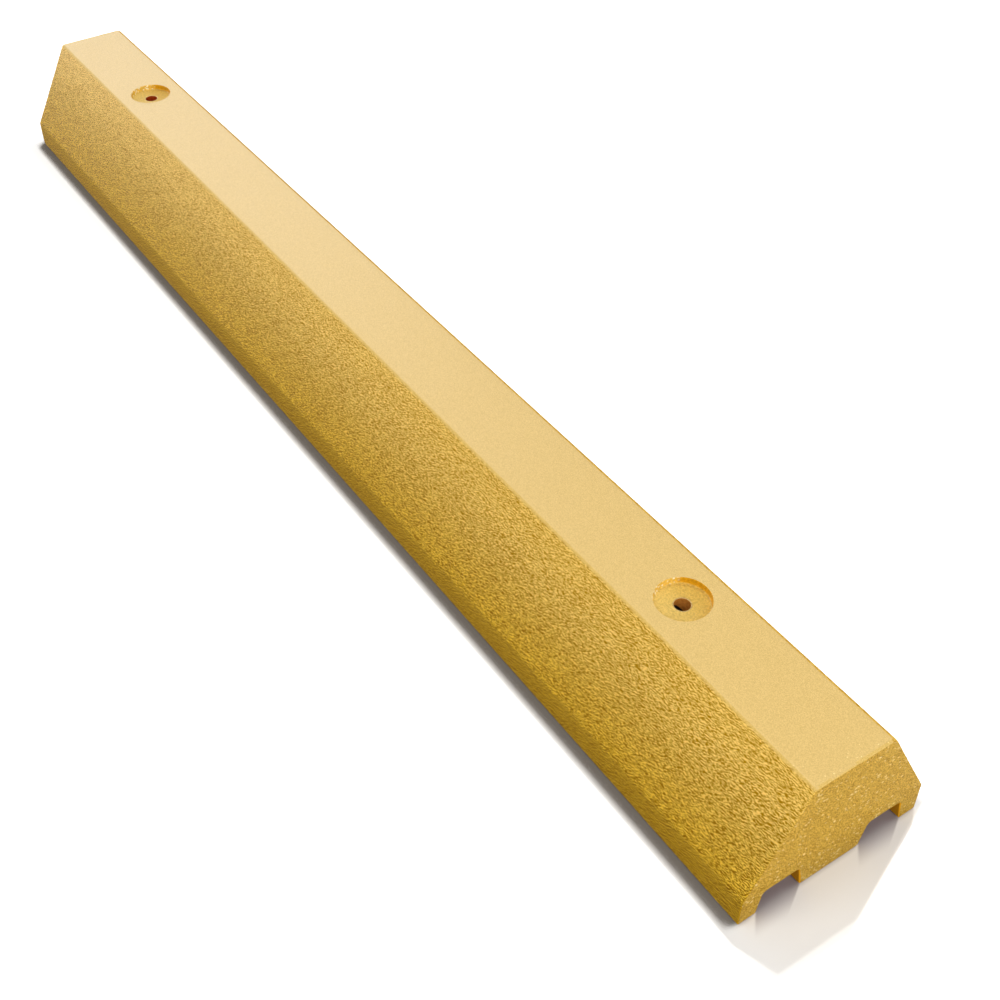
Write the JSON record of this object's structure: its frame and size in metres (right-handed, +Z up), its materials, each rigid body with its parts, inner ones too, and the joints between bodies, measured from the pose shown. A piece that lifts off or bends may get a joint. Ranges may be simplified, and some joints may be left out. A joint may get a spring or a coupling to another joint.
{
  "type": "parking block",
  "caption": "Low yellow plastic wheel stop with a flat top, sloping sides, recessed steel-lined anchor holes and open channels along its underside.",
  "frame": {"origin": "middle of the base, on the ground", "axes": "+X along the length, +Y across the width, +Z up"},
  "size_m": [1.2192, 0.16, 0.109],
  "materials": {
    "yellow_plastic": "wrinkled on the sides, smooth on top",
    "sleeve_steel": "rusted inside, bare at the cut ends"
  },
  "bodies": {
    "root": {"block": "yellow_plastic", "anchor_sleeve_left": "sleeve_steel", "anchor_sleeve_right": "sleeve_steel"}
  },
  "joints": []
}
